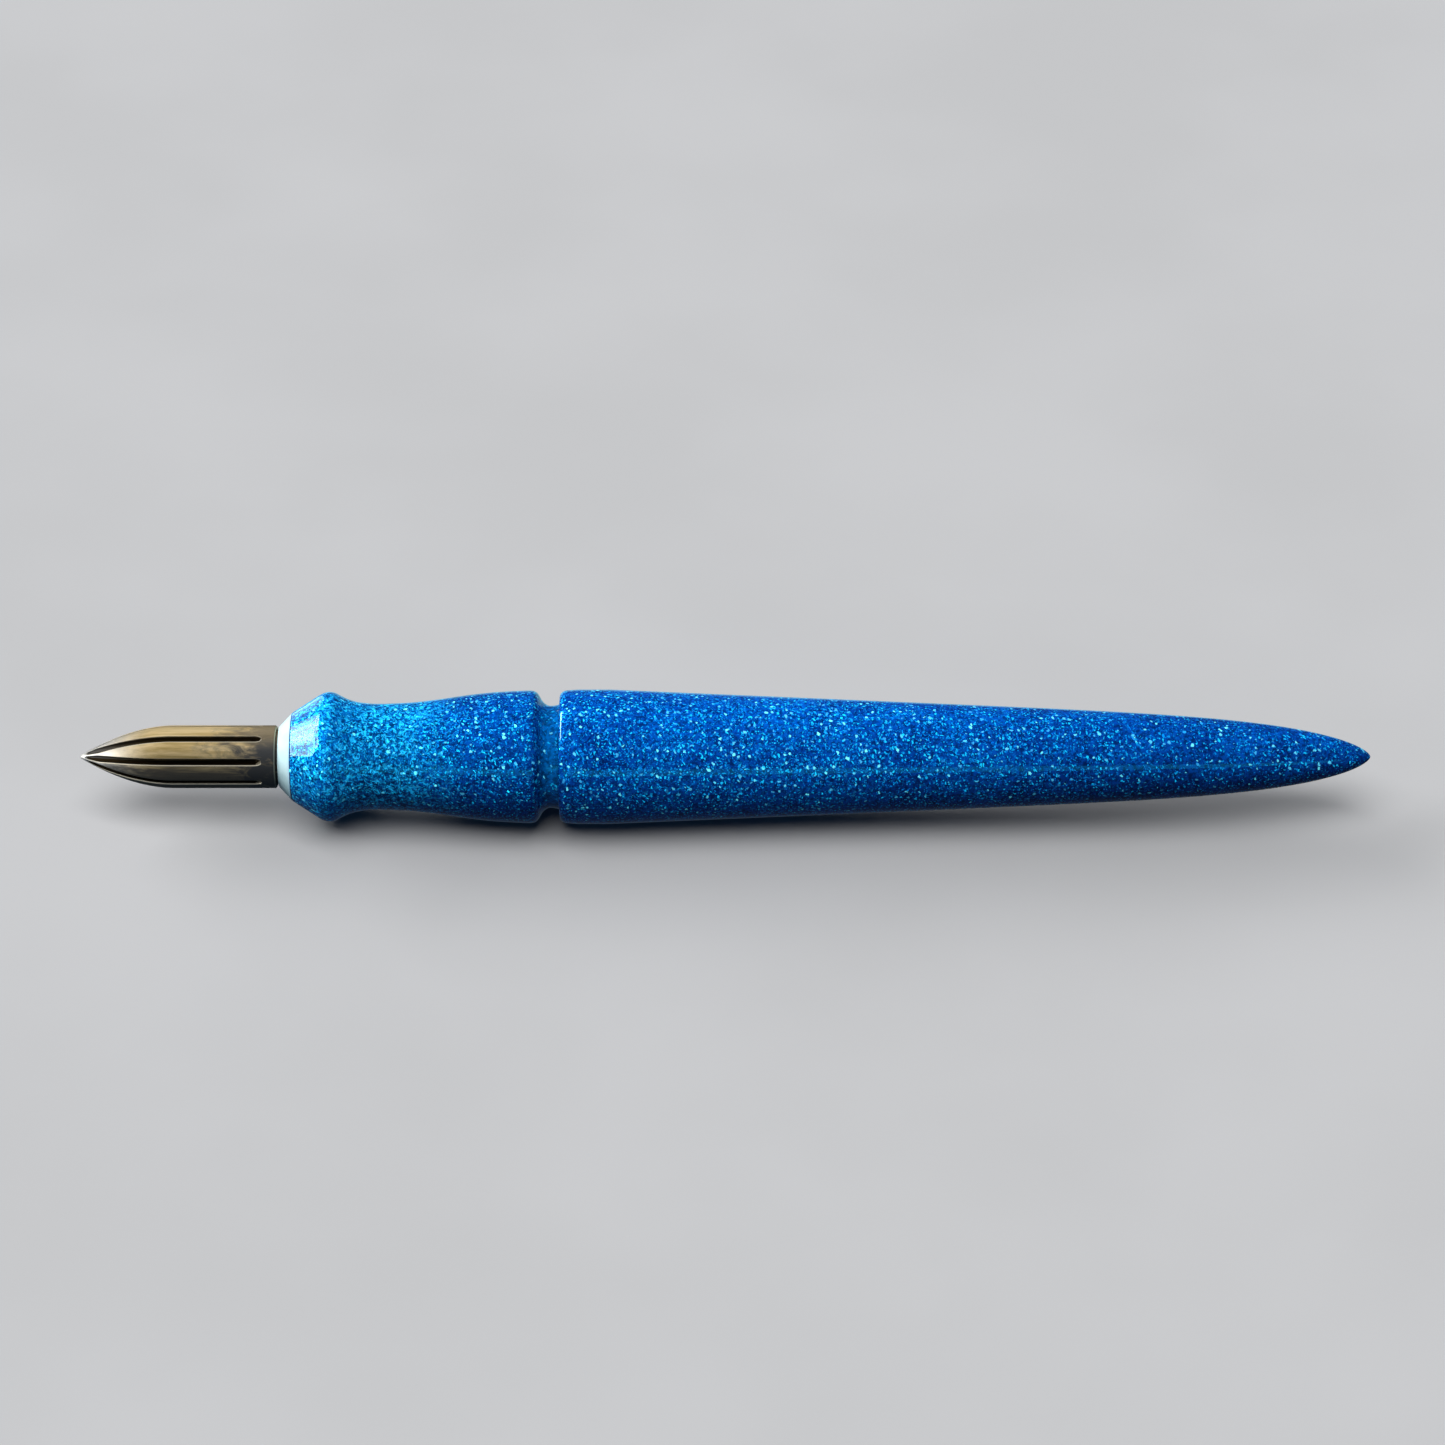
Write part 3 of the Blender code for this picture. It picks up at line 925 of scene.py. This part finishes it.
def pale_collar(name):
    """Satin pale blue, turned, and bluer where it meets the resin."""
    r = Recipe(name, Specular_IOR_Level=0.25)
    station = r.split(r.spot)[0]
    cloud = r.noise(r.spot, 0.6, 3.0)
    turning = r.noise(r.stretched(26.0, 0.15, 0.15), 1.0, 3.0)
    colour = r.mix(r.between(cloud, 0.3, 0.7), (0.39, 0.57, 0.60), (0.45, 0.62, 0.65))
    seam = r.between(station, COLLAR_REAR - 0.32, COLLAR_REAR)
    colour = r.mix(r.math("MULTIPLY", seam, 0.35), colour, (0.2, 0.5, 0.8))
    r.set(r.shader.inputs["Base Color"], colour)
    r.set(r.shader.inputs["Roughness"], r.between(turning, 0.3, 0.7, 0.3, 0.42))
    r.set(r.shader.inputs["Normal"], r.bump(turning, 0.2, 0.00002))
    return r.material


def drawn_metal(name, light, dark, rough):
    """Metal with fine marks along it and a little tarnish, for the pieces inside."""
    r = Recipe(name, Metallic=1.0)
    marks = r.noise(r.stretched(0.8, 12.0, 12.0), 1.0, 4.0)
    tarnish = r.noise(r.spot, 0.7, 4.0, 0.6, 0.5)
    colour = r.mix(r.between(tarnish, 0.42, 0.68), light, dark)
    r.set(r.shader.inputs["Base Color"], colour)
    r.set(r.shader.inputs["Roughness"], r.between(marks, 0.3, 0.7, rough, rough + 0.14))
    r.set(r.shader.inputs["Normal"], r.bump(marks, 0.2, 0.00002))
    return r.material


def pale_floor(name):
    """Matt grey with faint clouds."""
    r = Recipe(name, Specular_IOR_Level=0.05)
    grain = r.noise(r.spot, 0.02, 3.0)
    colour = r.mix(r.between(grain, 0.3, 0.7), (0.262, 0.262, 0.265), (0.276, 0.276, 0.28))
    r.set(r.shader.inputs["Base Color"], colour)
    r.set(r.shader.inputs["Roughness"], r.between(grain, 0.3, 0.7, 0.7, 0.8))
    return r.material


# ---------------------------------------------------------------- the pen

brass = aged_brass("brass_patina_and_painted_shade")
collar = pale_collar("pale_collar_satin")
ferrule = drawn_metal("ferrule_brass", (0.78, 0.6, 0.3), (0.4, 0.28, 0.13), 0.24)
steel = drawn_metal("clip_steel", (0.62, 0.63, 0.65), (0.36, 0.36, 0.37), 0.22)
grip = glitter_resin("grip_resin", (0.0, 0.0, 0.0), True)
barrel = glitter_resin("barrel_resin", (31.0, 17.0, 5.0), False)

make_fluted_nib(brass)
make_nib_shank(brass)
make_nose_collar(collar)
make_ferrule(ferrule)
make_clip(steel)
make_grip(grip)
make_barrel(barrel)

# the CAD nodes that these pieces stand for get the same finishes
finishes = {
    "nib": brass,
    "nose_collar": collar,
    "ferrule_sleeve": ferrule,
    "nib_clip": steel,
    "grip_section": grip,
    "barrel": barrel,
}
for name, finish in finishes.items():
    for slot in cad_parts[name].material_slots:
        slot.material = finish

# ---------------------------------------------------------------- the studio

CAMERA_ELEVATION = 36
CAMERA_DISTANCE = 0.58  # metres
FRAME_SIDE = 161.1175  # what the picture spans at the pen
AIM_ABOVE = 3.8133  # from the pen's middle to where the camera looks
AIM_LEFT = 0.3345
SENSOR_WIDTH = 36.0

def make_floor():
    mesh_builder = bmesh.new()
    bmesh.ops.create_grid(mesh_builder, x_segments=2, y_segments=2, size=2.5)
    mesh = bpy.data.meshes.new("floor")
    mesh_builder.to_mesh(mesh)
    mesh_builder.free()
    floor = bpy.data.objects.new("floor", mesh)
    bpy.context.scene.collection.objects.link(floor)
    mesh.materials.append(pale_floor("floor_pale"))
    # a pale floor would wash out the pen's deep colours, so this one sends no light back
    floor.visible_diffuse = False
    floor.visible_glossy = False


def draw_curtain(lamp, slant, fade):
    """Slanting folds in a lamp's brightness, which fades out between two shares of its width."""
    lamp.use_nodes = True
    nodes, links = lamp.node_tree.nodes, lamp.node_tree.links

    def add(kind, **inputs):
        node = nodes.new(kind)
        for name, value in inputs.items():
            node.inputs[name.replace("_", " ")].default_value = value
        return node

    over_lamp = nodes.new("ShaderNodeNewGeometry").outputs["Parametric"]
    turn = add("ShaderNodeVectorRotate", Angle=math.radians(slant))
    turn.rotation_type = "Z_AXIS"
    links.new(over_lamp, turn.inputs["Vector"])
    stretch = nodes.new("ShaderNodeVectorMath")
    stretch.operation = "MULTIPLY"
    stretch.inputs[1].default_value = (1.0, 5.0, 1.0)
    links.new(turn.outputs[0], stretch.inputs[0])
    folds = add("ShaderNodeTexNoise", Scale=1.0)
    links.new(stretch.outputs[0], folds.inputs["Vector"])
    strength = add("ShaderNodeMapRange", From_Min=0.35, From_Max=0.6, To_Min=0.25, To_Max=1.2)
    links.new(folds.outputs["Fac"], strength.inputs["Value"])

    across = nodes.new("ShaderNodeSeparateXYZ")
    links.new(over_lamp, across.inputs[0])
    faded = add("ShaderNodeMapRange", From_Min=fade[0], From_Max=fade[1], To_Min=0.12)
    faded.interpolation_type = "SMOOTHSTEP"
    links.new(across.outputs["X"], faded.inputs["Value"])
    dimmed = nodes.new("ShaderNodeMath")
    dimmed.operation = "MULTIPLY"
    links.new(strength.outputs[0], dimmed.inputs[0])
    links.new(faded.outputs[0], dimmed.inputs[1])
    links.new(dimmed.outputs[0], nodes["Emission"].inputs["Strength"])


def soft_light(name, direction, distance, size, watts, **settings):
    """A rectangular lamp facing the pen.

    seen_in lists the pieces whose gloss reflects it, if not all. A lamp with lights False is
    only reflected. A streaked lamp is a window behind a thin curtain whose folds slant by that
    many degrees, and fade says where across it the brightness comes up.
    """
    lamp = bpy.data.lights.new(name, "AREA")
    lamp.shape = "RECTANGLE"
    lamp.size, lamp.size_y = size
    lamp.energy = watts
    lamp.color = settings.get("colour", (1.0, 1.0, 1.0))
    holder = bpy.data.objects.new(name, lamp)
    bpy.context.scene.collection.objects.link(holder)
    way = Vector(direction).normalized()
    holder.location = Vector((0, 0, AXIS_Z)) + way * distance
    holder.rotation_euler = way.to_track_quat("Z", "Y").to_euler()
    holder.visible_diffuse = settings.get("lights", True)
    seen_in = settings.get("seen_in")
    if seen_in == []:
        holder.visible_glossy = False
    elif seen_in:
        reflecting = bpy.data.collections.new(name + "_pieces")
        for piece in seen_in:
            reflecting.objects.link(piece)
        holder.light_linking.receiver_collection = reflecting
    if settings.get("streaked"):
        draw_curtain(lamp, settings["streaked"], settings["fade"])


def make_camera():
    camera = bpy.data.cameras.new("camera")
    camera.sensor_width = SENSOR_WIDTH
    camera.lens = SENSOR_WIDTH * CAMERA_DISTANCE / (FRAME_SIDE * MM)
    camera.clip_start = 0.01
    camera.clip_end = 20.0
    holder = bpy.data.objects.new("camera", camera)
    bpy.context.scene.collection.objects.link(holder)
    elevation = math.radians(CAMERA_ELEVATION)
    back = Vector((0.0, -math.cos(elevation), math.sin(elevation)))
    above = Vector((0.0, math.sin(elevation), math.cos(elevation)))
    middle = Vector(((TIP_X + TAIL_X) / 2, 0.0, AXIS_Z))
    target = middle + above * AIM_ABOVE * MM - Vector((AIM_LEFT * MM, 0, 0))
    holder.location = target + back * CAMERA_DISTANCE
    holder.rotation_euler = back.to_track_quat("Z", "Y").to_euler()
    bpy.context.scene.camera = holder


def make_studio():
    make_floor()
    world = bpy.data.worlds.new("studio")
    bpy.context.scene.world = world
    world.use_nodes = True
    nodes = world.node_tree.nodes
    # the pen is in a dim room, while the backdrop is as pale as the floor
    colour = nodes.new("ShaderNodeMix")
    colour.data_type = "RGBA"
    colour.inputs[6].default_value = (0.045, 0.068, 0.095, 1.0)
    colour.inputs[7].default_value = (0.56, 0.56, 0.57, 1.0)
    links = world.node_tree.links
    links.new(nodes.new("ShaderNodeLightPath").outputs["Is Camera Ray"], colour.inputs[0])
    links.new(colour.outputs[2], nodes["Background"].inputs["Color"])
    front = [bpy.data.objects["resin_grip"]]
    rear = [bpy.data.objects["resin_barrel"]]
    metal = [bpy.data.objects["fluted_nib"], bpy.data.objects["nib_shank"]]
    # the light on the pen, which nothing reflects
    soft_light("window_light", (-0.73, 0.42, 0.42), 7.7, (8.7, 2.9), 1200.0, seen_in=[])
    soft_light("overhead", (-0.15, -0.25, 0.94), 6.7, (6.2, 6.2), 827.0, seen_in=[])
    # what the polish and the metal reflect
    sky = (0.66, 0.87, 0.70)
    glass = {"seen_in": front, "lights": False, "colour": sky, "streaked": 35}
    edge = {"seen_in": rear, "lights": False, "colour": (0.5, 0.95, 1.0)}
    rim = {"seen_in": front + rear, "lights": False, "colour": (0.35, 0.85, 1.0)}
    blue = {"seen_in": front + rear, "lights": False, "colour": (0.03, 0.75, 1.0)}
    bright = {"seen_in": metal, "lights": False}
    window_fade, far_fade = (0.0, 0.3), (-1.0, -0.9)
    soft_light(
        "window_pane", (-0.86, 0.18, 0.40), 0.8, (0.80, 0.44), 60.0, fade=window_fade, **glass
    )
    soft_light("far_pane", (-0.585, 0.80, 0.0), 0.8, (0.52, 0.48), 2.4, fade=far_fade, **glass)
    soft_light("far_table", (0.0, 0.92, -0.38), 2.0, (3.6, 0.8), 6.0, **rim)
    soft_light("front_strip", (0.0, -0.99, 0.14), 2.0, (3.6, 0.42), 20.0, **blue)
    soft_light("edge_strip", (-0.82, 0.34, 0.38), 0.8, (0.50, 0.16), 16.0, **edge)
    soft_light("ceiling", (0.0, 0.33, 1.0), 1.5, (3.0, 3.4), 17.5, **bright)
    soft_light("nib_window", (-0.90, -0.25, 0.28), 0.8, (0.6, 0.6), 3.0, **bright)


make_studio()
make_camera()
bpy.context.scene.view_settings.view_transform = "Standard"
